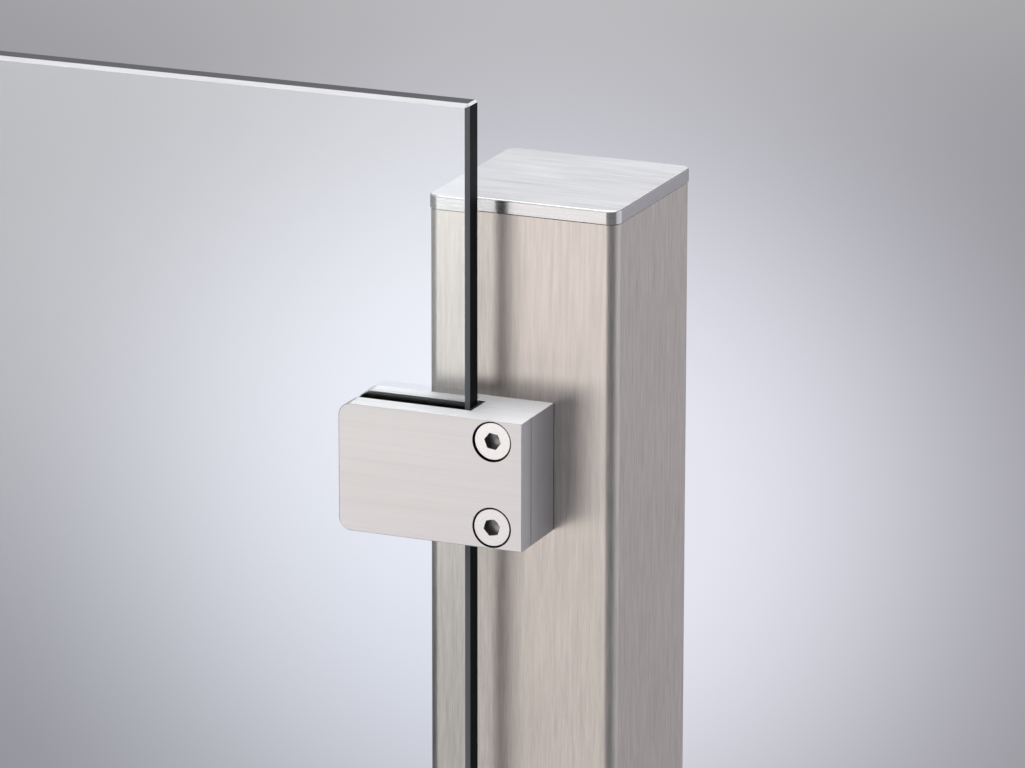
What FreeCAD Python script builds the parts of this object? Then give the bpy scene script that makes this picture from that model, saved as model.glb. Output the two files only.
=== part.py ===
"""Glass railing end post: a square tube on a welded foot plate, with a push-in cap and two glass clamps.

Frame: millimetres, +Z up, origin at the middle of the foot plate's underside on the tube's axis.
The pane stands on the front side, towards -Y, and runs off to the left, towards -X.
"""
import FreeCAD
import Part
import Sketcher
import os

DOCUMENT = FreeCAD.newDocument("railing_end_post")

# Driving dimensions
SIZES = {
    # Overall heights and the pane
    "guard_height": 1100.0,
    "pane_rise": 36.5,
    "pane_floor_gap": 80.0,
    "pane_width": 300.0,
    "pane_thick": 8.0,
    "pane_arris": 1.4,
    "pane_corner": 1.2,
    # Square tube
    "post_side": 60.0,
    "post_wall": 2.0,
    "post_radius": 3.5,
    "post_inner_break": 0.3,
    # Foot plate and its weld
    "plate_side": 120.0,
    "plate_thick": 10.0,
    "plate_radius": 8.0,
    "plate_edge": 1.0,
    "anchor_margin": 15.0,
    "anchor_hole": 12.0,
    "weld_leg": 5.0,
    "weld_toe": 0.8,
    # Cap and its plug
    "cap_overhang": 0.3,
    "cap_thick": 4.2,
    "cap_edge": 0.6,
    "plug_depth": 18.0,
    "plug_wall": 2.5,
    "plug_gap": 0.5,
    "rib_width": 2.0,
    "rib_spacing": 28.0,
    "rib_gap": 0.1,
    # Clamp
    "clamp_width": 60.0,
    "clamp_height": 40.0,
    "clamp_end": 10.0,
    "clamp_drop": 57.2,
    "clamp_radius": 4.0,
    "clamp_edge": 0.4,
    "parting_break": 0.2,
    "rear_break": 0.5,
    "cover_thick": 7.2,
    "back_wall": 6.3,
    "web_width": 19.6,
    # Gaskets
    "gasket_thick": 1.5,
    "gasket_inset": 0.3,
    "key_wide": 24.0,
    "key_tall": 4.0,
    "key_deep": 2.0,
    "key_gap": 0.1,
    # Cover screws
    "cover_pitch": 26.8,
    "cover_thread": 6.0,
    "cover_head": 12.0,
    "cover_hex": 5.0,
    "cover_hex_deep": 2.4,
    "recess_gap": 0.4,
    "sink_a": 0.7,
    "sink_b": 0.5,
    # Fixing screw and the flow-drilled bush in the tube's wall
    "fixing_thread": 8.0,
    "fixing_reach": 12.0,
    "fixing_head": 13.0,
    "fixing_head_high": 5.0,
    "fixing_hex": 5.0,
    "fixing_hex_deep": 3.0,
    "fixing_seat": 8.0,
    "bore_gap": 0.5,
    "bush_dia": 12.0,
    "bush_long": 4.0,
    # Room around threads and a blind hole's floor
    "thread_gap": 0.05,
    "blind_floor": 2.5,
    "tip_room": 0.8,
}

# Small tolerance for picking edges by where they lie
NEAR = 1e-4

SHEET = DOCUMENT.addObject("Spreadsheet::Sheet", "Sizes")
for row, (alias, value) in enumerate(SIZES.items(), start=1):
    SHEET.set(f"A{row}", alias)
    SHEET.set(f"B{row}", str(value))
    SHEET.setAlias(f"B{row}", alias)
DOCUMENT.recompute()


def cell(alias):
    """Name of a sheet cell inside an expression."""
    return f"Sizes.{alias}"


def number(expression):
    """Value of an expression of sheet cells, for picking edges."""
    return float(SHEET.evalExpression(expression))


# Heights and depths that several pieces share, as expressions of the sheet
ZERO = "0"
TUBE_TOP = f"({cell('guard_height')} - {cell('pane_rise')})"
TUBE_LENGTH = f"({TUBE_TOP} - {cell('plate_thick')})"
POST_INSIDE = f"({cell('post_side')} - 2 * {cell('post_wall')})"
INNER_RADIUS = f"max({cell('post_radius')} - {cell('post_wall')}; {cell('post_inner_break')})"
PANE_HEIGHT = f"({cell('guard_height')} - {cell('pane_floor_gap')})"
SLOT = f"({cell('pane_thick')} + 2 * {cell('gasket_thick')})"
WEB_DEPTH = f"({cell('back_wall')} + {SLOT})"
CLAMP_DEPTH = f"({WEB_DEPTH} + {cell('cover_thick')})"
WEB_LEFT = f"({cell('clamp_end')} - {cell('web_width')})"
WEB_MIDDLE = f"({cell('clamp_end')} - {cell('web_width')} / 2)"
CLAMP_LEFT = f"({cell('clamp_end')} - {cell('clamp_width')})"
PANE_RIGHT = f"({WEB_LEFT} - {cell('gasket_thick')})"
PANE_BACK = f"({cell('back_wall')} + {cell('gasket_thick')})"
UPPER_LEVEL = f"({TUBE_TOP} - {cell('clamp_drop')} - {cell('clamp_height')} / 2)"
LOWER_LEVEL = f"({cell('pane_floor_gap')} + {cell('guard_height')} - {UPPER_LEVEL})"
HEAD_CONE = f"(({cell('cover_head')} - {cell('cover_thread')}) / 2)"
COVER_LONG = f"({CLAMP_DEPTH} - {cell('sink_a')} - {cell('blind_floor')} - {cell('tip_room')})"
GASKET_LEFT = f"({CLAMP_LEFT} + {cell('gasket_inset')})"
GASKET_TALL = f"({cell('clamp_height')} - 2 * {cell('gasket_inset')})"
GASKET_RADIUS = f"({cell('clamp_radius')} - {cell('gasket_inset')})"
KEY_MIDDLE = f"(({CLAMP_LEFT} + {WEB_LEFT}) / 2)"

# Places on the post: front face for the clamps, each at its own level
LEVELS = {"upper": UPPER_LEVEL, "lower": LOWER_LEVEL}

# Screws look to the front, the upper one sits deeper, and their sockets stop at different turns
FACING_FRONT = FreeCAD.Rotation(FreeCAD.Vector(1, 0, 0), 90)
SCREW_SIDES = {"a": "+", "b": "-"}
SOCKET_TURNS = {"a": 52.0, "b": 12.0}


# Helpers for bodies, sketches and features
def new_body(label):
    body = DOCUMENT.addObject("PartDesign::Body", label)
    body.Label = label
    return body


def plane_of(body, role):
    return next(plane for plane in body.Origin.OriginFeatures if plane.Role == role)


def new_sketch(body, name, role, offset=None):
    """Sketch on one of the body's own planes, moved by expressions for x, y and z in the plane's frame."""
    sketch = body.newObject("Sketcher::SketchObject", f"{body.Label}_{name}")
    sketch.AttachmentSupport = [(plane_of(body, role), "")]
    sketch.MapMode = "FlatFace"
    for axis, expression in (offset or {}).items():
        sketch.setExpression(f".AttachmentOffset.Base.{axis}", expression)
    return sketch


def outline(sketch, corners):
    """Closed outline of straight sides, whose corners are pairs of expressions for x and y."""
    points = [FreeCAD.Vector(number(x), number(y), 0) for x, y in corners]
    count = len(points)
    first = sketch.GeometryCount
    for step in range(count):
        sketch.addGeometry(Part.LineSegment(points[step], points[(step + 1) % count]), False)
    for step in range(count):
        follower = first + (step + 1) % count
        sketch.addConstraint(Sketcher.Constraint("Coincident", first + step, 2, follower, 1))
    for step, (x, y) in enumerate(corners):
        for kind, expression in (("DistanceX", x), ("DistanceY", y)):
            index = sketch.addConstraint(
                Sketcher.Constraint(kind, -1, 1, first + step, 1, number(expression)))
            sketch.setExpression(f"Constraints[{index}]", expression)


def rectangle(sketch, left, right, low, high):
    outline(sketch, [(left, low), (right, low), (right, high), (left, high)])


def square(sketch, side):
    rectangle(sketch, f"-{side} / 2", f"{side} / 2", f"-{side} / 2", f"{side} / 2")


def circle(sketch, x, y, diameter):
    centre = FreeCAD.Vector(number(x), number(y), 0)
    index = sketch.addGeometry(Part.Circle(centre, FreeCAD.Vector(0, 0, 1), number(diameter) / 2), False)
    for kind, expression in (("DistanceX", x), ("DistanceY", y)):
        held = sketch.addConstraint(Sketcher.Constraint(kind, -1, 1, index, 3, number(expression)))
        sketch.setExpression(f"Constraints[{held}]", expression)
    held = sketch.addConstraint(Sketcher.Constraint("Diameter", index, number(diameter)))
    sketch.setExpression(f"Constraints[{held}]", diameter)


def hexagon(sketch, across_flats):
    """Regular hexagon about the sketch's origin with two of its corners on the horizontal axis."""
    half = f"({across_flats}) / 2"
    corner = f"({across_flats}) / sqrt(3)"
    outline(sketch, [
        (corner, ZERO),
        (f"{corner} / 2", half),
        (f"-{corner} / 2", half),
        (f"-{corner}", ZERO),
        (f"-{corner} / 2", f"-{half}"),
        (f"{corner} / 2", f"-{half}"),
    ])


def pad(body, name, sketch, length, reverse=False):
    feature = body.newObject("PartDesign::Pad", f"{body.Label}_{name}")
    feature.Profile = sketch
    feature.setExpression("Length", length)
    feature.Reversed = reverse
    DOCUMENT.recompute()
    return feature


def cut(body, name, sketch, length, reverse=False):
    """Pocket that must take material away."""
    before = body.Shape.Volume
    feature = body.newObject("PartDesign::Pocket", f"{body.Label}_{name}")
    feature.Profile = sketch
    feature.setExpression("Length", length)
    feature.Reversed = reverse
    DOCUMENT.recompute()
    if body.Shape.Volume >= before:
        raise RuntimeError(f"{feature.Name} cuts nothing")
    return feature


def turn(body, name, kind, sketch):
    """Revolution or groove about the sketch's vertical axis."""
    feature = body.newObject(f"PartDesign::{kind}", f"{body.Label}_{name}")
    feature.Profile = sketch
    feature.ReferenceAxis = (sketch, ["V_Axis"])
    feature.Angle = 360.0
    DOCUMENT.recompute()
    return feature


def mirror(body, name, feature, role):
    copy = body.newObject("PartDesign::Mirrored", f"{body.Label}_{name}")
    copy.Originals = [feature]
    copy.MirrorPlane = (plane_of(body, role), [""])
    body.Tip = copy
    DOCUMENT.recompute()
    return copy


def quarter_turns(body, name, features):
    copies = body.newObject("PartDesign::PolarPattern", f"{body.Label}_{name}")
    copies.Originals = features
    axis = next(line for line in body.Origin.OriginFeatures if line.Role == "Z_Axis")
    copies.Axis = (axis, [""])
    copies.Angle = 360.0
    copies.Occurrences = 4
    body.Tip = copies
    DOCUMENT.recompute()
    return copies


def dress(body, name, kind, keep, size):
    """Fillet or chamfer on the edges of the body's last feature that the test keeps."""
    base = body.Tip
    names = [f"Edge{place}" for place, edge in enumerate(base.Shape.Edges, start=1) if keep(edge.BoundBox)]
    if not names:
        raise RuntimeError(f"{body.Label} {name} finds no edge")
    feature = body.newObject(f"PartDesign::{kind}", f"{body.Label}_{name}")
    feature.Base = (base, names)
    feature.setExpression("Radius" if kind == "Fillet" else "Size", size)
    DOCUMENT.recompute()
    return feature


def same(first, second):
    return abs(first - second) < NEAR


def upright(box):
    """True for a straight edge along Z."""
    return box.XLength < NEAR and box.YLength < NEAR


def level_at(box, height):
    """True for an edge that lies flat at a height."""
    return same(box.ZMin, height) and same(box.ZMax, height)


def along_depth(box):
    """True for a straight edge along Y."""
    return box.XLength < NEAR and box.ZLength < NEAR


def front_at(box, depth):
    """True for an edge that lies in the plane at that depth along Y."""
    return same(box.YMin, depth) and same(box.YMax, depth)


def reach(box):
    """Largest distance of an edge from the Z axis along X or Y."""
    return max(abs(box.XMin), abs(box.XMax), abs(box.YMin), abs(box.YMax))


def place(body, x, y, z, rotation=None):
    if rotation:
        body.Placement = FreeCAD.Placement(FreeCAD.Vector(), rotation)
    for axis, expression in (("x", x), ("y", y), ("z", z)):
        body.setExpression(f".Placement.Base.{axis}", expression)
    DOCUMENT.recompute()


# Foot plate with four anchor holes
def make_base_plate():
    body = new_body("base_plate")
    sheet_outline = new_sketch(body, "outline", "XY_Plane")
    square(sheet_outline, cell("plate_side"))
    pad(body, "plate", sheet_outline, cell("plate_thick"))
    dress(body, "corners", "Fillet", upright, cell("plate_radius"))
    top = number(cell("plate_thick"))
    dress(body, "edge", "Chamfer", lambda box: level_at(box, top), cell("plate_edge"))
    hole = new_sketch(body, "anchor", "XY_Plane")
    from_middle = f"{cell('plate_side')} / 2 - {cell('anchor_margin')}"
    circle(hole, from_middle, from_middle, cell("anchor_hole"))
    drilled = cut(body, "anchor_hole", hole, cell("plate_thick"), reverse=True)
    quarter_turns(body, "anchor_holes", [drilled])
    return body


# Square tube, open at both ends, with a flow-drilled and tapped bush in its front wall for each clamp
def make_post_tube():
    body = new_body("post_tube")
    section = new_sketch(body, "section", "XY_Plane")
    square(section, cell("post_side"))
    square(section, POST_INSIDE)
    pad(body, "tube", section, TUBE_LENGTH)
    inside = number(POST_INSIDE) / 2
    dress(body, "outer_corners", "Fillet", lambda box: upright(box) and reach(box) > inside + NEAR,
          cell("post_radius"))
    dress(body, "inner_corners", "Fillet",
          lambda box: upright(box) and same(abs(box.XMin), inside) and same(abs(box.YMin), inside),
          INNER_RADIUS)
    in_wall = f"({cell('post_side')} - {cell('post_wall')}) / 2"
    collars = new_sketch(body, "collars", "XZ_Plane", {"z": in_wall})
    holes = new_sketch(body, "threads", "XZ_Plane")
    for level in LEVELS.values():
        height = f"{level} - {cell('plate_thick')}"
        circle(collars, WEB_MIDDLE, height, cell("bush_dia"))
        circle(holes, WEB_MIDDLE, height, f"{cell('fixing_thread')} + 2 * {cell('thread_gap')}")
    pad(body, "bushes", collars, f"{cell('post_wall')} / 2 + {cell('bush_long')}", reverse=True)
    cut(body, "bush_threads", holes, f"{cell('post_side')} / 2", reverse=True)
    place(body, ZERO, ZERO, cell("plate_thick"))
    return body


# Fillet weld round the foot of the tube
def make_base_weld():
    body = new_body("base_weld")
    section = new_sketch(body, "section", "XY_Plane")
    square(section, f"({cell('post_side')} + 2 * {cell('weld_leg')})")
    square(section, cell("post_side"))
    pad(body, "bead", section, cell("weld_leg"))
    tube = number(cell("post_side")) / 2
    dress(body, "outer_corners", "Fillet", lambda box: upright(box) and reach(box) > tube + NEAR,
          f"{cell('post_radius')} + {cell('weld_leg')}")
    dress(body, "inner_corners", "Fillet",
          lambda box: upright(box) and same(abs(box.XMin), tube) and same(abs(box.YMin), tube),
          cell("post_radius"))
    top = number(cell("weld_leg"))
    dress(body, "throat", "Chamfer", lambda box: level_at(box, top) and reach(box) > tube + NEAR,
          f"{cell('weld_leg')} - {cell('weld_toe')}")
    place(body, ZERO, ZERO, cell("plate_thick"))
    return body


# Flat cap with a hollow plug and crush ribs that hold it in the tube
def make_post_cap():
    body = new_body("post_cap")
    top_outline = new_sketch(body, "outline", "XY_Plane")
    square(top_outline, f"({cell('post_side')} + 2 * {cell('cap_overhang')})")
    pad(body, "plate", top_outline, cell("cap_thick"))
    dress(body, "corners", "Fillet", upright, f"{cell('post_radius')} + {cell('cap_overhang')}")
    thick = number(cell("cap_thick"))
    dress(body, "top_edge", "Chamfer", lambda box: level_at(box, thick), cell("cap_edge"))
    plug_side = f"({POST_INSIDE} - 2 * {cell('plug_gap')})"
    plug = new_sketch(body, "plug", "XY_Plane")
    square(plug, plug_side)
    square(plug, f"({plug_side} - 2 * {cell('plug_wall')})")
    pad(body, "plug_wall", plug, cell("plug_depth"), reverse=True)
    depth = -number(cell("plug_depth"))
    face = number(plug_side) / 2
    dress(body, "plug_corners", "Fillet",
          lambda box: upright(box) and same(box.ZMin, depth) and same(abs(box.XMin), face),
          INNER_RADIUS)
    rib = new_sketch(body, "rib", "XY_Plane")
    for side in ("-", ""):
        middle = f"{side}{cell('rib_spacing')} / 2"
        rectangle(rib, f"{middle} - {cell('rib_width')} / 2", f"{middle} + {cell('rib_width')} / 2",
                  f"{plug_side} / 2 - {cell('plug_wall')} / 2", f"{POST_INSIDE} / 2 - {cell('rib_gap')}")
    ribs = pad(body, "rib_pair", rib, f"{cell('plug_depth')} - {cell('rib_width')}", reverse=True)
    quarter_turns(body, "ribs", [ribs])
    place(body, ZERO, ZERO, TUBE_TOP)
    return body


# Glass pane with cut corners and bevelled edges all round
def make_glass_pane():
    body = new_body("glass_pane")
    face = new_sketch(body, "face", "XZ_Plane")
    rectangle(face, f"{PANE_RIGHT} - {cell('pane_width')}", PANE_RIGHT, ZERO, PANE_HEIGHT)
    pad(body, "sheet", face, cell("pane_thick"))
    dress(body, "corners", "Chamfer", along_depth, cell("pane_corner"))
    dress(body, "arris", "Chamfer", lambda box: not along_depth(box), cell("pane_arris"))
    place(body, ZERO, f"-({cell('post_side')} / 2 + {PANE_BACK})", cell("pane_floor_gap"))
    return body


# Outline of the key that keeps a gasket in place, or of the groove round it
def key_outline(sketch, room=ZERO):
    wide = f"({cell('key_wide')} / 2 + {room})"
    tall = f"({cell('key_tall')} / 2 + {room})"
    rectangle(sketch, f"{KEY_MIDDLE} - {wide}", f"{KEY_MIDDLE} + {wide}", f"-{tall}", tall)


# Rear half of a clamp: back wall and web, with threads for the cover and a sunk fixing hole
def make_clamp_body(level):
    body = new_body(f"{level}_clamp_body")
    plan = new_sketch(body, "plan", "XY_Plane", {"z": f"-{cell('clamp_height')} / 2"})
    outline(plan, [
        (CLAMP_LEFT, ZERO),
        (CLAMP_LEFT, f"-{cell('back_wall')}"),
        (WEB_LEFT, f"-{cell('back_wall')}"),
        (WEB_LEFT, f"-{WEB_DEPTH}"),
        (cell("clamp_end"), f"-{WEB_DEPTH}"),
        (cell("clamp_end"), ZERO),
    ])
    pad(body, "angle", plan, cell("clamp_height"))
    left = number(CLAMP_LEFT)
    dress(body, "corners", "Fillet",
          lambda box: along_depth(box) and same(box.XMin, left), cell("clamp_radius"))
    right = number(cell("clamp_end"))
    dress(body, "edges", "Chamfer",
          lambda box: along_depth(box) and same(box.XMin, right), cell("clamp_edge"))
    parting = -number(WEB_DEPTH)
    dress(body, "parting_edge", "Chamfer",
          lambda box: front_at(box, parting) and same(box.XMin, right), cell("parting_break"))
    dress(body, "rear_edge", "Chamfer",
          lambda box: front_at(box, 0.0) and same(box.XMin, right), cell("rear_break"))
    thread = new_sketch(body, "thread", "XY_Plane", {"x": WEB_MIDDLE, "z": f"{cell('cover_pitch')} / 2"})
    rectangle(thread, ZERO, f"{cell('cover_thread')} / 2 + {cell('thread_gap')}",
              f"-{WEB_DEPTH}", f"-{cell('blind_floor')}")
    tapped = turn(body, "cover_thread", "Groove", thread)
    mirror(body, "cover_threads", tapped, "XY_Plane")
    seat = new_sketch(body, "seat", "XY_Plane", {"x": WEB_MIDDLE})
    shank = f"{cell('fixing_thread')} / 2 + {cell('bore_gap')}"
    head = f"{cell('fixing_head')} / 2 + {cell('bore_gap')}"
    outline(seat, [
        (ZERO, f"-{WEB_DEPTH}"),
        (head, f"-{WEB_DEPTH}"),
        (head, f"-{cell('fixing_seat')}"),
        (shank, f"-{cell('fixing_seat')}"),
        (shank, ZERO),
        (ZERO, ZERO),
    ])
    turn(body, "fixing_hole", "Groove", seat)
    groove = new_sketch(body, "groove", "XZ_Plane", {"z": cell("back_wall")})
    key_outline(groove, cell("key_gap"))
    cut(body, "key_groove", groove, f"{cell('key_deep')} + {cell('key_gap')}")
    place(body, ZERO, f"-{cell('post_side')} / 2", LEVELS[level])
    return body


# Front plate of a clamp, with two recessed countersinks on the web's middle line
def make_clamp_cover(level):
    body = new_body(f"{level}_clamp_cover")
    face = new_sketch(body, "face", "XZ_Plane", {"z": WEB_DEPTH})
    half = f"{cell('clamp_height')} / 2"
    rectangle(face, CLAMP_LEFT, cell("clamp_end"), f"-{half}", half)
    pad(body, "plate", face, cell("cover_thick"))
    left = number(CLAMP_LEFT)
    dress(body, "corners", "Fillet",
          lambda box: along_depth(box) and same(box.XMin, left), cell("clamp_radius"))
    front = -number(CLAMP_DEPTH)
    right = number(cell("clamp_end"))
    dress(body, "edges", "Chamfer",
          lambda box: front_at(box, front) or (along_depth(box) and same(box.XMin, right)),
          cell("clamp_edge"))
    parting = -number(WEB_DEPTH)
    dress(body, "parting_edge", "Chamfer",
          lambda box: front_at(box, parting) and same(box.XMin, right), cell("parting_break"))
    wide = f"({cell('cover_head')} / 2 + {cell('recess_gap')})"
    narrow = f"{cell('cover_thread')} / 2 + {cell('bore_gap')}"
    for key, side in SCREW_SIDES.items():
        at_screw = {"x": WEB_MIDDLE, "z": f"{side}{cell('cover_pitch')} / 2"}
        recess = new_sketch(body, f"recess_{key}", "XY_Plane", at_screw)
        step = f"-{CLAMP_DEPTH} + {cell(f'sink_{key}')} - {cell('recess_gap')}"
        outline(recess, [
            (ZERO, f"-{CLAMP_DEPTH}"),
            (wide, f"-{CLAMP_DEPTH}"),
            (wide, step),
            (narrow, f"{step} + {wide} - ({narrow})"),
            (narrow, f"-{WEB_DEPTH}"),
            (ZERO, f"-{WEB_DEPTH}"),
        ])
        turn(body, f"countersink_{key}", "Groove", recess)
    groove = new_sketch(body, "groove", "XZ_Plane", {"z": WEB_DEPTH})
    key_outline(groove, cell("key_gap"))
    cut(body, "key_groove", groove, f"{cell('key_deep')} + {cell('key_gap')}", reverse=True)
    place(body, ZERO, f"-{cell('post_side')} / 2", LEVELS[level])
    return body


# Rubber pad between the cover and the pane
def make_gasket_front(level):
    body = new_body(f"{level}_gasket_front")
    face = new_sketch(body, "face", "XZ_Plane", {"z": f"{WEB_DEPTH} - {cell('gasket_thick')}"})
    half = f"{GASKET_TALL} / 2"
    rectangle(face, GASKET_LEFT, WEB_LEFT, f"-{half}", half)
    pad(body, "sheet", face, cell("gasket_thick"))
    left = number(GASKET_LEFT)
    dress(body, "corners", "Fillet", lambda box: along_depth(box) and same(box.XMin, left), GASKET_RADIUS)
    key = new_sketch(body, "key", "XZ_Plane", {"z": WEB_DEPTH})
    key_outline(key)
    pad(body, "locating_key", key, cell("key_deep"))
    place(body, ZERO, f"-{cell('post_side')} / 2", LEVELS[level])
    return body


# Rubber pad behind the pane, with a lip between the pane's edge and the web
def make_gasket_rear(level):
    body = new_body(f"{level}_gasket_rear")
    plan = new_sketch(body, "plan", "XY_Plane", {"z": f"-{GASKET_TALL} / 2"})
    lip = f"-({WEB_DEPTH} - {cell('gasket_thick')})"
    outline(plan, [
        (GASKET_LEFT, f"-{cell('back_wall')}"),
        (GASKET_LEFT, f"-{PANE_BACK}"),
        (PANE_RIGHT, f"-{PANE_BACK}"),
        (PANE_RIGHT, lip),
        (WEB_LEFT, lip),
        (WEB_LEFT, f"-{cell('back_wall')}"),
    ])
    pad(body, "sheet", plan, GASKET_TALL)
    left = number(GASKET_LEFT)
    dress(body, "corners", "Fillet", lambda box: along_depth(box) and same(box.XMin, left), GASKET_RADIUS)
    key = new_sketch(body, "key", "XZ_Plane", {"z": cell("back_wall")})
    key_outline(key)
    pad(body, "locating_key", key, cell("key_deep"), reverse=True)
    place(body, ZERO, f"-{cell('post_side')} / 2", LEVELS[level])
    return body


# Countersunk screw with a hexagon socket, its head's top at the height zero
def make_cover_screw(level, key):
    body = new_body(f"{level}_cover_screw_{key}")
    half = new_sketch(body, "half", "XZ_Plane")
    head = f"{cell('cover_head')} / 2"
    shank = f"{cell('cover_thread')} / 2"
    end = f"-{COVER_LONG}"
    outline(half, [(ZERO, ZERO), (head, ZERO), (shank, f"-{HEAD_CONE}"), (shank, end), (ZERO, end)])
    turn(body, "shape", "Revolution", half)
    socket = new_sketch(body, "socket", "XY_Plane")
    hexagon(socket, cell("cover_hex"))
    cut(body, "hex_socket", socket, cell("cover_hex_deep"))
    facing = FACING_FRONT.multiply(FreeCAD.Rotation(FreeCAD.Vector(0, 0, 1), SOCKET_TURNS[key]))
    place(body, WEB_MIDDLE, f"-({cell('post_side')} / 2 + {CLAMP_DEPTH} - {cell(f'sink_{key}')})",
          f"{LEVELS[level]} {SCREW_SIDES[key]} {cell('cover_pitch')} / 2", facing)
    return body


# Low-head socket screw that holds a clamp body to the post, its head's seat at the height zero
def make_fixing_screw(level):
    body = new_body(f"{level}_fixing_screw")
    half = new_sketch(body, "half", "XZ_Plane")
    head = f"{cell('fixing_head')} / 2"
    shank = f"{cell('fixing_thread')} / 2"
    end = f"-({cell('fixing_seat')} + {cell('fixing_reach')})"
    outline(half, [
        (ZERO, cell("fixing_head_high")),
        (head, cell("fixing_head_high")),
        (head, ZERO),
        (shank, ZERO),
        (shank, end),
        (ZERO, end),
    ])
    turn(body, "shape", "Revolution", half)
    socket = new_sketch(body, "socket", "XY_Plane", {"z": cell("fixing_head_high")})
    hexagon(socket, cell("fixing_hex"))
    cut(body, "hex_socket", socket, cell("fixing_hex_deep"))
    seat = f"-({cell('post_side')} / 2 + {cell('fixing_seat')})"
    place(body, WEB_MIDDLE, seat, LEVELS[level], FACING_FRONT)
    return body


def make_clamp(level):
    return [
        make_clamp_body(level),
        make_clamp_cover(level),
        make_gasket_front(level),
        make_gasket_rear(level),
        make_cover_screw(level, "a"),
        make_cover_screw(level, "b"),
        make_fixing_screw(level),
    ]


def check(pieces):
    """Stop before anything is written if an object failed or a piece isn't one sound solid."""
    for thing in DOCUMENT.Objects:
        if "Invalid" in thing.State or "Error" in thing.State:
            raise RuntimeError(f"{thing.Name} is {thing.State}")
    for piece in pieces:
        if piece.Shape.isNull() or not piece.Shape.isValid() or len(piece.Shape.Solids) != 1:
            raise RuntimeError(f"{piece.Label} is not one valid solid")


PIECES = [make_base_plate(), make_base_weld(), make_post_tube(), make_post_cap(), make_glass_pane()]
for level_name in LEVELS:
    PIECES += make_clamp(level_name)
DOCUMENT.recompute()
check(PIECES)
os.makedirs("parts", exist_ok=True)
for piece in PIECES:
    piece.Shape.exportStep(os.path.join("parts", f"{piece.Label}.step"))
    box = piece.Shape.BoundBox
    print(f"{piece.Label:26s} volume {piece.Shape.Volume:10.1f}  x {box.XMin:8.2f} {box.XMax:8.2f}"
          f"  y {box.YMin:8.2f} {box.YMax:8.2f}  z {box.ZMin:8.2f} {box.ZMax:8.2f}")
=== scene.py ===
"""Looks of a glass railing end post, laid out as an add-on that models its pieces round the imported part."""

import math

import bmesh
import bpy
from bpy.props import FloatProperty, FloatVectorProperty, PointerProperty
from mathutils import Matrix, Vector


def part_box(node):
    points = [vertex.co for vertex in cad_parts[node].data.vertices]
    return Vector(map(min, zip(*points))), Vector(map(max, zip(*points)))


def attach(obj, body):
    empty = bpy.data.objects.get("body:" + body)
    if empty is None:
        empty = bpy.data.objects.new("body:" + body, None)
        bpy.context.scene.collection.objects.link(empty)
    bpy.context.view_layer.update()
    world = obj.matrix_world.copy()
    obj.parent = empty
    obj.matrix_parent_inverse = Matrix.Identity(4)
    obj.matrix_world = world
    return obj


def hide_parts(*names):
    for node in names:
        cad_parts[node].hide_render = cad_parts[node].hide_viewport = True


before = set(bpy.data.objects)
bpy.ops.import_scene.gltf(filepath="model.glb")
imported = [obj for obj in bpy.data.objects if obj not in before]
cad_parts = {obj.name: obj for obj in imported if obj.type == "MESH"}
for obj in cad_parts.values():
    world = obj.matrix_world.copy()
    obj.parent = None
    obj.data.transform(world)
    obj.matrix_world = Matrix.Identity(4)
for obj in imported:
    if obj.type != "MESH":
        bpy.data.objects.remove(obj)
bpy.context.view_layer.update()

bl_info = {
    "name": "Glass railing end post",
    "version": (1, 0, 0),
    "blender": (4, 5, 0),
    "location": "3D View > Sidebar > Railing",
    "description": "Models and finishes the pieces of a square railing post with glass clamps",
    "category": "Object",
}

MM = 0.001
LEVELS = ("upper", "lower")
NEAR = 1e-5

# Where the clamp's own pieces lie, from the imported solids
COVER_LOW, COVER_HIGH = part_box("upper_clamp_cover")
BODY_LOW, BODY_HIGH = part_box("upper_clamp_body")
PANE_LOW, PANE_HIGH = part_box("glass_pane")
LOWER_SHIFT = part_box("lower_clamp_body")[0] - BODY_LOW
SCREW_MIDDLES = {
    key: (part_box(f"upper_cover_screw_{key}")[0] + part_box(f"upper_cover_screw_{key}")[1]) / 2
    for key in ("a", "b")
}
FIXING_MIDDLE = (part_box("upper_fixing_screw")[0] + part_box("upper_fixing_screw")[1]) / 2


def length(name, description, default):
    """Property for a length in metres."""
    return FloatProperty(name=name, description=description, default=default, min=0.0,
                         unit="LENGTH", precision=5)


def number(name, description, default, unit="NONE", **limits):
    """Property for a plain number."""
    return FloatProperty(name=name, description=description, default=default, unit=unit, **limits)


def colour(name, description, default):
    """Property for a linear colour."""
    return FloatVectorProperty(name=name, description=description, default=default, size=3,
                               min=0.0, max=1.0, subtype="COLOR")


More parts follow.
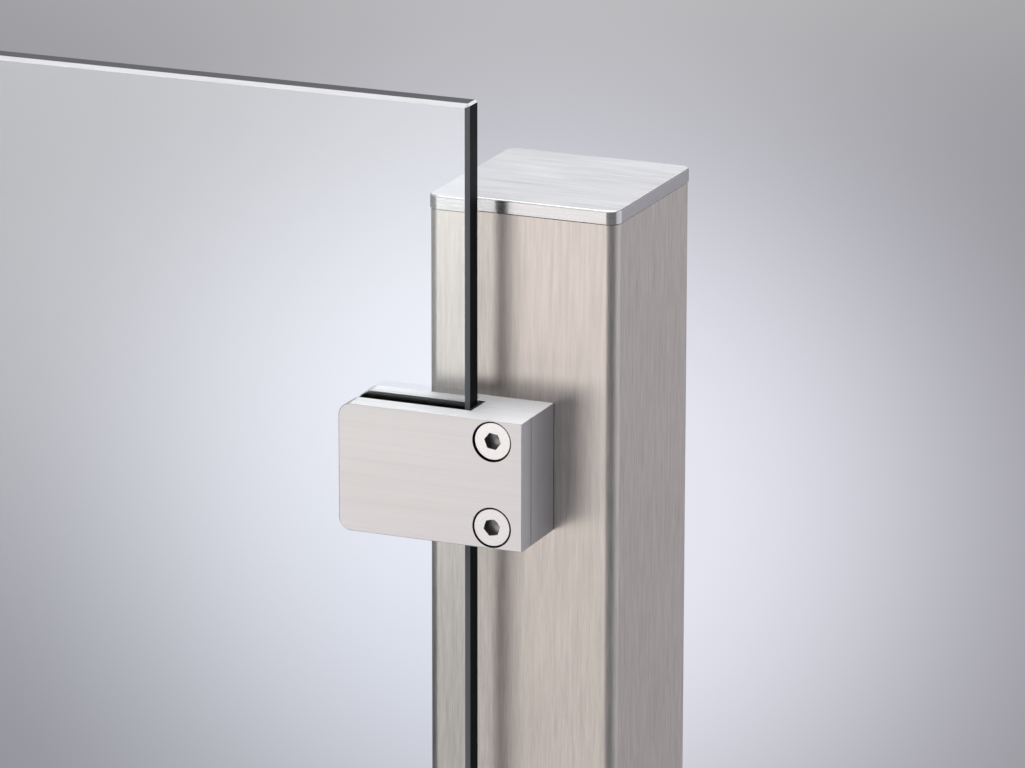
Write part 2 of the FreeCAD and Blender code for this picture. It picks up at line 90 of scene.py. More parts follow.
class RailingSizes(bpy.types.PropertyGroup):
    """Edges, walls and small shapes of the modelled pieces."""
    tube_corner: length("Tube corner", "Outer radius of the tube's corners", 3.5 * MM)
    tube_wall: length("Tube wall", "Wall of the tube", 2.0 * MM)
    bush_radius: length("Bush radius", "Radius of the drilled collar inside the tube's wall", 6.0 * MM)
    bush_long: length("Bush length", "Length of the drilled collar behind the wall", 4.0 * MM)
    fixing_radius: length("Fixing thread", "Radius of a fixing screw's thread", 4.0 * MM)
    fixing_head: length("Fixing head", "Radius of a fixing screw's head", 6.5 * MM)
    fixing_seat: length("Fixing seat", "Distance of that head's seat from the tube", 8.0 * MM)
    thread_room: length("Thread room", "Room round a thread", 0.05 * MM)
    bore_room: length("Bore room", "Room round a shank or head in its bore", 0.5 * MM)
    cap_thick: length("Cap thickness", "Height of the cap's plate", 4.2 * MM)
    cap_gap: length("Cap gap", "Dark joint between the cap and the tube", 0.25 * MM)
    cap_corner: length("Cap corner", "Radius of the cap's corners", 3.8 * MM)
    cap_edge: length("Cap edge", "Rounding of the cap's upper edge", 0.6 * MM)
    cap_relief: length("Cap relief", "Break of the cap's lower edge", 0.1 * MM)
    plug_side: length("Plug side", "Half the width of the cap's plug", 27.5 * MM)
    plug_wall: length("Plug wall", "Wall of the cap's plug", 2.5 * MM)
    rib_wide: length("Rib width", "Width of a crush rib on the plug", 2.0 * MM)
    rib_rise: length("Rib rise", "How far a rib stands out of the plug", 0.4 * MM)
    rib_long: length("Rib length", "Length of a rib below the cap's plate", 16.0 * MM)
    rib_offset: length("Rib offset", "Distance of a rib from the middle of its side", 14.0 * MM)
    pane_corner: length("Pane corner", "Cut of the pane's corners", 0.7 * MM)
    pane_bevel: length("Pane bevel", "Bevel along the pane's edges", 1.19 * MM)
    clamp_corner: length("Clamp corner", "Radius of the clamp's free corners", 4.0 * MM)
    clamp_edge: length("Clamp edge", "Rounding of the clamp's outer edges", 0.25 * MM)
    joint_wide: length("Joint width", "Width of the fine steps in the clamp's right side", 0.4 * MM)
    joint_deep: length("Joint depth", "Depth of these steps", 0.35 * MM)
    web_left: length("Web", "Distance from the post's axis to the web's left side", 9.6 * MM)
    back_wall: length("Back wall", "Thickness of the clamp's back wall", 6.3 * MM)
    blind_floor: length("Thread floor", "Steel left behind the cover screws' threads", 2.5 * MM)
    gasket_corner: length("Gasket corner", "Radius of the rubber pads' free corners", 3.7 * MM)
    gasket_round: length("Gasket edge", "Rounding of the rubber pads", 0.3 * MM)
    key_wide: length("Key width", "Width of the key that holds a pad in place", 24.0 * MM)
    key_tall: length("Key height", "Height of that key", 4.0 * MM)
    key_deep: length("Key depth", "Depth of that key", 2.0 * MM)
    key_room: length("Key room", "Room round that key in its groove", 0.1 * MM)
    sink_upper: length("Upper screw depth", "How far the upper cover screw sits below the face", 0.65 * MM)
    sink_lower: length("Lower screw depth", "How far the lower cover screw sits below the face", 0.15 * MM)
    recess_radius: length("Recess radius", "Radius of the recess round a cover screw", 6.3 * MM)
    recess_floor: length("Recess floor", "Depth of the recess below a cover screw's face", 1.3 * MM)
    seat_inset: length("Seat inset", "How much smaller than the head its seat begins", 0.95 * MM)
    head_break: length("Head break", "Break of a cover screw's edge", 0.15 * MM)
    head_radius: length("Head radius", "Radius of a cover screw's head", 5.8 * MM)
    shank_radius: length("Shank radius", "Radius of a cover screw's shank", 3.0 * MM)
    screw_long: length("Screw length", "Length of a cover screw", 20.0 * MM)
    screw_point: length("Screw point", "Chamfer at a cover screw's end", 0.6 * MM)
    socket_flats: length("Socket", "Hexagon socket of a cover screw across its flats", 4.8 * MM)
    socket_deep: length("Socket depth", "Depth of that socket", 3.2 * MM)
    weld_leg: length("Weld leg", "Leg of the weld bead", 5.0 * MM)
    weld_toe: length("Weld toe", "Upright edge of the weld bead at the plate", 0.8 * MM)
    ripple: length("Weld ripple", "Height of the ripples in the weld bead", 0.25 * MM)


class RailingFinish(bpy.types.PropertyGroup):
    """Colours of the steel, rubber and glass."""
    tube: colour("Tube", "Steel of the tube, brushed along its length", (0.66, 0.605, 0.555))
    cap: colour("Cap", "Steel of the cap, brushed across", (0.59, 0.58, 0.575))
    # Painted light: the cap's left and right sides share the front's steel but take a lighter base colour of
    # their own, since that steel came out too dark there under these lamps.
    cap_side_painted_light: colour("Cap sides", "Steel of the cap's other sides", (0.75, 0.74, 0.74))
    # The cap's top: its satin roughness is its own finish, and its base colour, lighter than the front's, is
    # painted light.
    cap_top_satin_painted_light: colour("Cap top", "Softer satin steel of the cap's top", (0.64, 0.64, 0.645))
    # The clamps' tops: their satin roughness is their own finish, and their base colour, darker than the
    # front's, is painted shade that holds down the light they catch from above.
    clamp_top_satin_painted_shade: colour("Clamp tops", "Satin steel of the clamps' tops", (0.49, 0.49, 0.505))
    clamp_lean: FloatVectorProperty(
        name="Clamp lean", description="Fixed tip of the shading on the clamps' tops, fitted to their look",
        default=(0.18, -0.43, 0.0), size=3)
    # Painted light: the clamps' sides share the front's steel but take a lighter base colour of their own,
    # since that steel came out too dark there under these lamps.
    clamp_side_painted_light: colour("Clamp sides", "Steel of the clamps' sides, brushed upright", (0.80, 0.795, 0.80))
    clamp: colour("Clamp", "Steel of the clamps, brushed across", (0.585, 0.57, 0.56))
    screw: colour("Screws", "Bright steel of the cover screws", (0.61, 0.597, 0.588))
    # Painted shade: a near-black colour on the walls of the recess round each cover screw, standing in for
    # the shade in that narrow gap.
    recess: colour("Recesses", "Unpolished steel in the gap round a cover screw", (0.05, 0.045, 0.043))
    # Painted shade: the screws' sockets take dark walls and paler floors, standing in for the shade inside
    # them.
    socket_bottom_painted_shade: colour("Socket floors", "Steel at the bottom of the sockets", (0.42, 0.41, 0.40))
    socket: colour("Sockets", "Unpolished steel inside the screws' sockets", (0.16, 0.15, 0.147))
    plate: colour("Foot plate", "Steel of the foot plate", (0.58, 0.56, 0.54))
    weld: colour("Weld", "Steel of the weld bead", (0.52, 0.50, 0.48))
    fixing: colour("Fixing screws", "Steel of the hidden fixing screws", (0.55, 0.54, 0.53))
    rubber: colour("Rubber", "Black rubber of the pads", (0.028, 0.028, 0.029))
    glass: colour("Glass", "What stays of white light deep inside the pane", (0.1, 0.66, 0.74))
    # Painted light and shade: the pane's edges and bevels are opaque and take these colours by which way they
    # face, in place of what the glass would show there: near-black upright edges, grey level edges, dim
    # upright bevels and light level bevels.
    glass_edge_painted_shade: colour("Glass edge", "Dark look of the pane's upright edges", (0.004, 0.006, 0.0065))
    glass_top_painted_shade: colour("Glass top", "Grey look of the pane's upper and lower edges", (0.029, 0.03, 0.032))
    glass_bevel_painted: colour("Glass bevel", "Look of the pane's upright bevels", (0.20, 0.212, 0.224))
    glass_upper_painted_light: colour("Upper bevel", "Look of the pane's level bevels", (0.79, 0.79, 0.81))
    glass_density: number("Glass density", "How strongly the pane takes up light", 6.0, min=0.0)


class RailingStage(bpy.types.PropertyGroup):
    """Floor, lamps and camera."""
    floor: colour("Floor", "Plain pale floor", (0.66, 0.66, 0.69))
    floor_radius: length("Floor radius", "Where the floor has faded into the background", 2.3)
    surround: colour("Surround", "Background away from the glow", (0.28, 0.272, 0.299))
    glow: colour("Glow", "Soft glow of the background behind the post", (0.54, 0.555, 0.617))
    upper_glow: colour("Upper glow", "Faint lighter band above the glow", (0.185, 0.193, 0.172))
    left_flag: colour("Left flag", "Darker cloth at the left of the post", (0.09, 0.09, 0.10))
    right_flag: colour("Right flag", "Darker cloth at the right of the post", (0.17, 0.18, 0.205))
    wall: colour("Wall", "Pale wall behind the post to the right", (0.66, 0.675, 0.735))
    back_wall: colour("Back wall", "Bright wall above and behind, which the tops mirror", (0.42, 0.43, 0.47))
    upper_cloth: colour("Upper cloth", "Pale cloth above the key lamp, which edges mirror", (0.7, 0.7, 0.72))
    overhead: number("Overhead", "Level of the soft light from above", 0.5, min=0.0)
    key_power: number("Key lamp", "Power of the soft lamp at the front left", 9.1, "POWER", min=0.0)
    fill_power: number("Fill lamp", "Power of the low soft lamp in front", 0.6, "POWER", min=0.0)
    top_power: number("Top lamp", "Power of the soft lamp above the post", 20.0, "POWER", min=0.0)
    lens: number("Lens", "Focal length on a 36 mm sensor", 231.45, "CAMERA", min=1.0)
    yaw: number("Yaw", "Turn of the camera to the right of the front", 0.403233, "ROTATION")
    pitch: number("Pitch", "Tilt of the camera down", 0.282738, "ROTATION")
    roll: number("Roll", "Turn of the camera about its own line of sight", 0.00122, "ROTATION")
    distance: length("Distance", "From the camera to its target", 1.993658)
    target_right: number("Target right", "Target from the tube's top, to the right", -0.015086, "LENGTH")
    target_up: number("Target up", "Target from the tube's top, upwards", -0.057972, "LENGTH")


# Modelling helpers
def settings(context):
    """Sizes and finish of the railing in this scene."""
    return context.scene.railing_sizes, context.scene.railing_finish


def alone(piece=None):
    """Leave edit mode and select nothing, or one piece only."""
    if bpy.context.mode != "OBJECT":
        bpy.ops.object.mode_set(mode="OBJECT")
    bpy.ops.object.select_all(action="DESELECT")
    if piece:
        piece.select_set(True)
        bpy.context.view_layer.objects.active = piece


def begin(name):
    """Name the shape just added, put its place into its mesh and go into edit mode."""
    piece = bpy.context.active_object
    piece.name = name
    piece.data.name = name
    bpy.ops.object.transform_apply(location=True, rotation=True, scale=True)
    bpy.ops.object.mode_set(mode="EDIT")
    return piece


def block(name, low, high):
    """Start a piece as a block between two corners."""
    alone()
    low, high = Vector(low), Vector(high)
    bpy.ops.mesh.primitive_cube_add(size=1.0, location=(low + high) / 2, scale=high - low)
    return begin(name)


def pick(piece, kind, keep):
    """Select only the faces, edges or points of a piece that the test keeps."""
    bpy.ops.mesh.select_mode(type=kind)
    bpy.ops.mesh.select_all(action="DESELECT")
    shape = bmesh.from_edit_mesh(piece.data)
    shape.normal_update()
    parts = {"FACE": shape.faces, "EDGE": shape.edges, "VERT": shape.verts}[kind]
    chosen = [part for part in parts if keep(part)]
    if not chosen:
        raise RuntimeError(f"{piece.name} has nothing to select")
    for part in chosen:
        part.select_set(True)
    bmesh.update_edit_mesh(piece.data)


def runs(edge, axis):
    """True where an edge is straight along one axis."""
    step = edge.verts[1].co - edge.verts[0].co
    return all(abs(step[other]) < NEAR for other in range(3) if other != axis)


def lies(part, axis, value):
    """True where all points of an edge or face have one coordinate."""
    return all(abs(point.co[axis] - value) < NEAR for point in part.verts)


def end_face(axis, value):
    """Test for the many-sided face at one place along an axis."""
    return lambda face: lies(face, axis, value) and len(face.verts) > 4


def melt():
    """Take out edges between flat faces of the whole piece."""
    bpy.ops.mesh.select_all(action="SELECT")
    bpy.ops.mesh.dissolve_limited(angle_limit=math.radians(1.0))


def bevel(offset, segments):
    bpy.ops.mesh.bevel(offset=offset, offset_type="OFFSET", segments=segments, profile=0.5,
                       affect="EDGES", clamp_overlap=True)


def push(offset):
    """Extrude what is selected by an offset."""
    bpy.ops.mesh.extrude_region_move(TRANSFORM_OT_translate={"value": offset})


def slice_at(axis, value):
    """Cut the whole piece through by a plane, keeping both sides."""
    point, normal = [0.0, 0.0, 0.0], [0.0, 0.0, 0.0]
    point[axis] = value
    normal[axis] = 1.0
    bpy.ops.mesh.select_all(action="SELECT")
    bpy.ops.mesh.bisect(plane_co=point, plane_no=normal, use_fill=False,
                        clear_inner=False, clear_outer=False)


def turned(name, x, z, profile, sides=96):
    """Start a turned shape about a line along Y, from pairs of depth and radius, front to back."""
    (depth, radius), (next_depth, _) = profile[0], profile[1]
    alone()
    bpy.ops.mesh.primitive_cylinder_add(
        vertices=sides, radius=radius, depth=next_depth - depth, end_fill_type="NGON",
        location=(x, (depth + next_depth) / 2, z), rotation=(math.pi / 2, 0.0, 0.0))
    piece = begin(name)
    for step, (next_depth, next_radius) in enumerate(profile[1:]):
        pick(piece, "FACE", end_face(1, depth if step else next_depth))
        if step:
            push((0.0, next_depth - depth, 0.0))
        if abs(next_radius - radius) > NEAR / 10:
            ratio = next_radius / radius
            bpy.ops.transform.resize(value=(ratio, 1.0, ratio), center_override=(x, next_depth, z))
        depth, radius = next_depth, next_radius
    return piece


def work(piece, tool, operation):
    """Cut a tool shape away from a piece or join it on, and clear the tool."""
    alone(piece)
    bpy.ops.object.modifier_add(type="BOOLEAN")
    change = piece.modifiers[-1]
    change.operation = operation
    change.solver = "EXACT"
    change.object = tool
    bpy.ops.object.modifier_apply(modifier=change.name)
    alone(tool)
    bpy.ops.object.delete()


def smooth(piece, degrees=32.0):
    """Shade round faces smooth and flat faces flat."""
    alone(piece)
    bpy.ops.object.shade_smooth_by_angle(angle=math.radians(degrees))
    bpy.ops.object.modifier_add(type="WEIGHTED_NORMAL")
    weights = piece.modifiers[-1]
    weights.keep_sharp = True
    weights.weight = 100
    bpy.ops.object.modifier_apply(modifier=weights.name)


def copy_of(piece, name, shift):
    """Copy a piece with a mesh of its own to another place."""
    alone(piece)
    bpy.ops.object.duplicate(linked=False)
    copy = bpy.context.active_object
    copy.name = name
    copy.data.name = name
    copy.location = shift
    bpy.ops.object.transform_apply(location=True, rotation=False, scale=False)
    return copy


def at_both_levels(model, lower_name):
    """List the upper piece and its copy at the lower clamp, each with its level and shift."""
    lower = copy_of(model, lower_name, LOWER_SHIFT)
    return (("upper", model, Vector()), ("lower", lower, LOWER_SHIFT))


def lay_brushing(piece, along):
    """Map the piece so that U runs along the brushing: one pair of axes for faces across X, Y and Z."""
    mesh = piece.data
    layer = mesh.uv_layers.new(name="brushing")
    for face in mesh.polygons:
        facing = max(range(3), key=lambda axis: abs(face.normal[axis]))
        first, second = along[facing]
        for corner in face.loop_indices:
            point = mesh.vertices[mesh.loops[corner].vertex_index].co
            layer.data[corner].uv = (point[first], point[second])


def settle(piece, node, materials, choose=None):
    """Give a piece its materials, chosen face by face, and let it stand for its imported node."""
    alone()
    piece.data.materials.clear()
    for material in materials:
        piece.data.materials.append(material)
    if choose:
        for face in piece.data.polygons:
            face.material_index = choose(face)
    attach(piece, "root")
    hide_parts(node)


# Material helpers
class Nodes:
    """Small helper for building one material's or the world's nodes."""

    def __init__(self, owner):
        owner.use_nodes = True
        self.owner = owner
        self.tree = owner.node_tree
        self.tree.nodes.clear()

    def add(self, kind, inputs=None, **settings):
        node = self.tree.nodes.new(kind)
        for name, value in settings.items():
            setattr(node, name, value)
        for name, value in (inputs or {}).items():
            self.feed(node, name, value)
        return node

    def feed(self, node, name, value):
        socket = node.inputs[name]
        if isinstance(value, bpy.types.NodeSocket):
            self.tree.links.new(value, socket)
        else:
            socket.default_value = value

    def sums(self, operation, first, second=0.0, third=None):
        inputs = {0: first, 1: second}
        if third is not None:
            inputs[2] = third
        return self.add("ShaderNodeMath", inputs, operation=operation).outputs[0]

    def grain(self, vector, scale, detail=2.0, roughness=0.55, dimensions="2D"):
        spread = self.add("ShaderNodeMapping", {"Vector": vector, "Scale": scale})
        return self.add("ShaderNodeTexNoise", {
            "Vector": spread.outputs[0], "Scale": 1.0, "Detail": detail, "Roughness": roughness,
        }, noise_dimensions=dimensions).outputs[0]

    def ranged(self, value, low, high):
        return self.add("ShaderNodeMapRange", {"Value": value, "To Min": low, "To Max": high}).outputs[0]

    def vector(self, operation, *inputs):
        """Result of a vector operation, which is a number for a dot product or a length."""
        node = self.add("ShaderNodeVectorMath", dict(enumerate(inputs)), operation=operation)
        return node.outputs["Value" if operation in ("DOT_PRODUCT", "LENGTH") else "Vector"]

    def soft(self, value, start, end, low=0.0, high=1.0, kind="SMOOTHSTEP"):
        """Soft step from one level to another."""
        return self.add("ShaderNodeMapRange", {
            "Value": value, "From Min": start, "From Max": end, "To Min": low, "To Max": high,
        }, interpolation_type=kind).outputs[0]

    def surface(self, shader, volume=None):
        """Let a shader make the surface, and another the inside, and give back the material."""
        output = self.add("ShaderNodeOutputMaterial")
        self.feed(output, "Surface", shader.outputs[0])
        if volume:
            self.feed(output, "Volume", volume.outputs[0])
        return self.owner

    def shaded(self, factor, base, darker, lighter):
        """Colour that runs from a darker to a lighter shade of the base."""
        low = [min(1.0, part * darker) for part in base] + [1.0]
        high = [min(1.0, part * lighter) for part in base] + [1.0]
        mix = self.add("ShaderNodeMix", {"Factor": factor}, data_type="RGBA")
        mix.inputs[6].default_value = low
        mix.inputs[7].default_value = high
        return mix.outputs[2]


def brushed_steel(name, base, roughness, spread, streaks, anisotropy=0.6, lean=None):
    """Steel brushed along U: fine scratches, broader bands and a highlight drawn out across them.

    A lean tips the shading normal to one side by a fixed amount. It is a fitted look, not a measured one.
    """
    nodes = Nodes(bpy.data.materials.new(name))
    place = nodes.add("ShaderNodeUVMap", uv_map="brushing").outputs[0]
    fine_along, fine_across, broad_along, broad_across = streaks
    fine = nodes.grain(place, (fine_along, fine_across, 1.0), 3.0, 0.6)
    broad = nodes.grain(place, (broad_along, broad_across, 1.0), 2.0, 0.5)
    both = nodes.sums("MULTIPLY_ADD", fine, 0.6, nodes.sums("MULTIPLY", broad, 0.4))
    tone = nodes.shaded(nodes.ranged(both, -0.3, 1.3), base, 1.0 - spread, 1.0 + spread)
    rough = nodes.ranged(fine, roughness * 0.8, roughness * 1.2)
    bump = nodes.add("ShaderNodeBump", {"Strength": 0.25, "Distance": 0.000008, "Height": fine})
    normal = bump.outputs[0]
    if lean is not None:
        normal = nodes.vector("NORMALIZE", nodes.vector("ADD", normal, lean))
    tangent = nodes.add("ShaderNodeTangent", direction_type="UV_MAP", uv_map="brushing")
    shader = nodes.add("ShaderNodeBsdfPrincipled", {
        "Base Color": tone, "Metallic": 1.0, "Roughness": rough, "Normal": normal,
        "Anisotropic": anisotropy, "Anisotropic Rotation": 0.25, "Tangent": tangent.outputs[0],
    })
    return nodes.surface(shader)


def turned_steel(name, base, roughness):
    """Bright steel with faint turning rings about the middle of its map."""
    nodes = Nodes(bpy.data.materials.new(name))
    place = nodes.add("ShaderNodeUVMap", uv_map="brushing").outputs[0]
    radius = nodes.vector("LENGTH", place)
    rings = nodes.add("ShaderNodeTexNoise", {"W": nodes.sums("MULTIPLY", radius, 6000.0), "Scale": 1.0},
                      noise_dimensions="1D").outputs[0]
    patches = nodes.grain(place, (900.0, 900.0, 1.0))
    both = nodes.sums("MULTIPLY_ADD", rings, 0.5, nodes.sums("MULTIPLY", patches, 0.5))
    tone = nodes.shaded(both, base, 0.93, 1.05)
    rough = nodes.ranged(rings, roughness * 0.8, roughness * 1.2)
    bump = nodes.add("ShaderNodeBump", {"Strength": 0.2, "Distance": 0.00001, "Height": rings})
    shader = nodes.add("ShaderNodeBsdfPrincipled", {
        "Base Color": tone, "Metallic": 1.0, "Roughness": rough, "Normal": bump.outputs[0],
    })
    return nodes.surface(shader)


def plain_steel(name, base, roughness, scale):
    """Satin steel with cloudy grain, on the object's own coordinates."""
    nodes = Nodes(bpy.data.materials.new(name))
    place = nodes.add("ShaderNodeTexCoord").outputs["Object"]
    fine = nodes.grain(place, scale, 4.0, 0.6, "3D")
    cloud = nodes.grain(place, [part / 12.0 for part in scale], 2.0, 0.5, "3D")
    both = nodes.sums("MULTIPLY_ADD", fine, 0.5, nodes.sums("MULTIPLY", cloud, 0.5))
    tone = nodes.shaded(both, base, 0.86, 1.12)
    rough = nodes.ranged(both, roughness * 0.8, roughness * 1.2)
    bump = nodes.add("ShaderNodeBump", {"Strength": 0.3, "Distance": 0.00003, "Height": fine})
    shader = nodes.add("ShaderNodeBsdfPrincipled", {
        "Base Color": tone, "Metallic": 1.0, "Roughness": rough, "Normal": bump.outputs[0],
    })
    return nodes.surface(shader)


def black_rubber(base):
    """Moulded rubber with a fine grain."""
    nodes = Nodes(bpy.data.materials.new("black_rubber_grain"))
    place = nodes.add("ShaderNodeTexCoord").outputs["Object"]
    grain = nodes.grain(place, (2500.0, 2500.0, 2500.0), 3.0, 0.6, "3D")
    tone = nodes.shaded(grain, base, 0.7, 1.5)
    rough = nodes.ranged(grain, 0.5, 0.7)
    bump = nodes.add("ShaderNodeBump", {"Strength": 0.4, "Distance": 0.00004, "Height": grain})
    shader = nodes.add("ShaderNodeBsdfPrincipled", {
        "Base Color": tone, "Roughness": rough, "Normal": bump.outputs[0], "Specular IOR Level": 0.35,
    })
    return nodes.surface(shader)


def clear_glass(tint, density):
    """Float glass with a faint roller wave, dark where one looks far into it."""
    nodes = Nodes(bpy.data.materials.new("clear_glass_pane"))
    place = nodes.add("ShaderNodeTexCoord").outputs["Object"]
    wave = nodes.grain(place, (5.0, 5.0, 9.0), 1.0, 0.4, "3D")
    bump = nodes.add("ShaderNodeBump", {"Strength": 0.5, "Distance": 0.00005, "Height": wave})
    shader = nodes.add("ShaderNodeBsdfPrincipled", {
        "Base Color": (1.0, 1.0, 1.0, 1.0), "Roughness": 0.0, "IOR": 1.52,
        "Transmission Weight": 1.0, "Normal": bump.outputs[0], "Specular IOR Level": 0.74,
    })
    inside = nodes.add("ShaderNodeVolumeAbsorption", {"Color": (*tint, 1.0), "Density": density})
    return nodes.surface(shader, inside)


def painted_glass_look(name, base, gloss):
    """Opaque look for the pane's edges and bevels: a colour with a dim grain instead of what lies behind it,
    as painted light and shade.
    """
    nodes = Nodes(bpy.data.materials.new(name))
    place = nodes.add("ShaderNodeTexCoord").outputs["Object"]
    grain = nodes.grain(place, (60.0, 900.0, 60.0), 3.0, 0.6, "3D")
    tone = nodes.shaded(grain, base, 0.85, 1.15)
    rough = nodes.ranged(grain, 0.3, 0.45)
    shader = nodes.add("ShaderNodeBsdfPrincipled", {
        "Base Color": tone, "Roughness": rough, "Specular IOR Level": gloss,
    })
    return nodes.surface(shader)


def finish_node(name, material):
    """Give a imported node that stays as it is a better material."""
    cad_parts[name].material_slots[0].material = material


class RAILING_OT_post_tube(bpy.types.Operator):
    """Model the square tube with fine round corners, hollow, with a drilled bush for each clamp"""
    bl_idname = "railing.post_tube"
    bl_label = "Post tube"

    def execute(self, context):
        sizes, finish = settings(context)
        low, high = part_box("post_tube")
        tube = block("tube", low, (high.x, high.y, high.z - sizes.cap_gap))
        pick(tube, "EDGE", lambda edge: runs(edge, 2))
        bevel(sizes.tube_corner, 14)
        pick(tube, "FACE", lambda face: abs(face.normal.z) > 0.9)
        bpy.ops.mesh.delete(type="FACE")
        alone(tube)
        bpy.ops.object.modifier_add(type="SOLIDIFY")
        wall = tube.modifiers[-1]
        wall.thickness = sizes.tube_wall
        wall.offset = -1.0
        wall.use_even_offset = True
        bpy.ops.object.modifier_apply(modifier=wall.name)
        bush_end = low.y + sizes.tube_wall + sizes.bush_long
        thread = sizes.fixing_radius + sizes.thread_room
        for shift in (Vector(), LOWER_SHIFT):
            place = FIXING_MIDDLE + shift
            collar = [(low.y + sizes.tube_wall / 2, sizes.bush_radius), (bush_end, sizes.bush_radius)]
            work(tube, turned("collar", place.x, place.z, collar), "UNION")
            drill = [(low.y - MM, thread), (bush_end + 3.0 * MM, thread)]
            work(tube, turned("drill", place.x, place.z, drill), "DIFFERENCE")
        smooth(tube)
        lay_brushing(tube, ((2, 1), (2, 0), (0, 1)))
        streaks = (110.0, 2400.0, 36.0, 800.0)
        steel = brushed_steel("post_steel_brushed", finish.tube, 0.38, 0.24, streaks, 0.5)
        settle(tube, "post_tube", [steel])
        return {"FINISHED"}


class RAILING_OT_post_cap(bpy.types.Operator):
    """Model the flat cap with its rounded edge, hollow plug and crush ribs"""
    bl_idname = "railing.post_cap"
    bl_label = "Post cap"

    def execute(self, context):
        sizes, finish = settings(context)
        low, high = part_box("post_cap")
        under = high.z - sizes.cap_thick
        cap = block("cap", (low.x, low.y, under), high)
        pick(cap, "EDGE", lambda edge: runs(edge, 2))
        bevel(sizes.cap_corner, 14)
        pick(cap, "EDGE", lambda edge: lies(edge, 2, high.z))
        bevel(sizes.cap_edge, 5)
        pick(cap, "EDGE", lambda edge: lies(edge, 2, under))
        bevel(sizes.cap_relief, 2)
        pick(cap, "FACE", lambda face: lies(face, 2, under))
        bpy.ops.mesh.inset(thickness=high.x - sizes.cap_relief - sizes.plug_side, depth=0.0)
        push((0.0, 0.0, low.z - under))
        push((0.0, 0.0, 0.0))
        inner = 1.0 - sizes.plug_wall / sizes.plug_side
        bpy.ops.transform.resize(value=(inner, inner, 1.0), center_override=(0.0, 0.0, low.z))
        push((0.0, 0.0, under - low.z))
        into_plate = 0.1 * MM
        half_wide, half_tall = sizes.rib_wide / 2, (sizes.rib_long + into_plate) / 2
        for turn in range(4):
            for side in (-sizes.rib_offset, sizes.rib_offset):
                spot = Matrix.Rotation(turn * math.pi / 2, 3, "Z") @ Vector((side, sizes.plug_side, 0.0))
                spot.z = under + into_plate - half_tall
                half = Vector((half_wide, sizes.rib_rise, half_tall))
                if turn % 2:
                    half.xy = half.yx
                work(cap, block("rib", spot - half, spot + half), "UNION")
        smooth(cap)
        lay_brushing(cap, ((1, 2), (0, 2), (0, 1)))
        streaks = (45.0, 1400.0, 16.0, 260.0)
        steel = brushed_steel("cap_steel_brushed", finish.cap, 0.28, 0.05, streaks, 0.9)
        # Painted light: a lighter copy of the cap's steel for its left and right sides.
        sides = brushed_steel("cap_steel_sides_painted_light", finish.cap_side_painted_light, 0.28, 0.05, streaks, 0.9)
        # Satin top: its own finish, with a lighter base colour as painted light.
        satin = brushed_steel("cap_steel_satin_painted_light", finish.cap_top_satin_painted_light, 0.4, 0.2, streaks)
        settle(cap, "post_cap", [steel, satin, sides],
               lambda face: 1 if face.normal.z > 0.95 else 2 if abs(face.normal.x) > 0.8 else 0)
        return {"FINISHED"}


class RAILING_OT_glass_pane(bpy.types.Operator):
    """Model the pane with its bevels, clear on its faces, with its edges dark and its bevels dim and light as
    painted light and shade
    """
    bl_idname = "railing.glass_pane"
    bl_label = "Glass pane"

    def execute(self, context):
        sizes, finish = settings(context)
        pane = block("pane", PANE_LOW, PANE_HIGH)
        pick(pane, "EDGE", lambda edge: runs(edge, 1))
        bevel(sizes.pane_corner, 1)
        pick(pane, "EDGE", lambda edge: lies(edge, 1, PANE_LOW.y) or lies(edge, 1, PANE_HIGH.y))
        bevel(sizes.pane_bevel, 1)
        bpy.ops.mesh.select_all(action="SELECT")
        bpy.ops.mesh.remove_doubles(threshold=0.02 * MM)
        alone(pane)
        bpy.ops.object.shade_flat()
        # Opaque colours for the edges and bevels, chosen by which way each face looks, are painted light and
        # shade.
        looks = [
            clear_glass(finish.glass, finish.glass_density),
            painted_glass_look("glass_edge_painted_shade_dark", finish.glass_edge_painted_shade, 0.06),
            painted_glass_look("glass_edge_painted_shade_grey", finish.glass_top_painted_shade, 0.2),
            painted_glass_look("glass_bevel_painted_dim", finish.glass_bevel_painted, 0.2),
            painted_glass_look("glass_bevel_painted_lit", finish.glass_upper_painted_light, 0.2),
        ]
        settle(pane, "glass_pane", looks, self.look_of)
        return {"FINISHED"}

    def look_of(self, face):
        """Clear faces; painted shade on the edges, dark where upright and grey where level; bevels dim as
        painted shade, and light where they face up as painted light.
        """
        across, deep, high = (abs(part) for part in face.normal)
        if deep > 0.9:
            return 0
        if min(across, high) > 0.3 or 0.1 < deep and high > 0.3:
            return 4
        if deep > 0.1:
            return 3
        return 1 if across > high else 2


def key_block(name, front, back, sizes, room):
    """Tool in the shape of the key or its groove, on the slot's middle."""
    x, z = (BODY_LOW.x - sizes.web_left) / 2, (BODY_LOW.z + BODY_HIGH.z) / 2
    half_x, half_z = sizes.key_wide / 2 + room, sizes.key_tall / 2 + room
    return block(name, (x - half_x, front, z - half_z), (x + half_x, back, z + half_z))


def screw_depths(sizes):
    return {"a": sizes.sink_upper, "b": sizes.sink_lower}


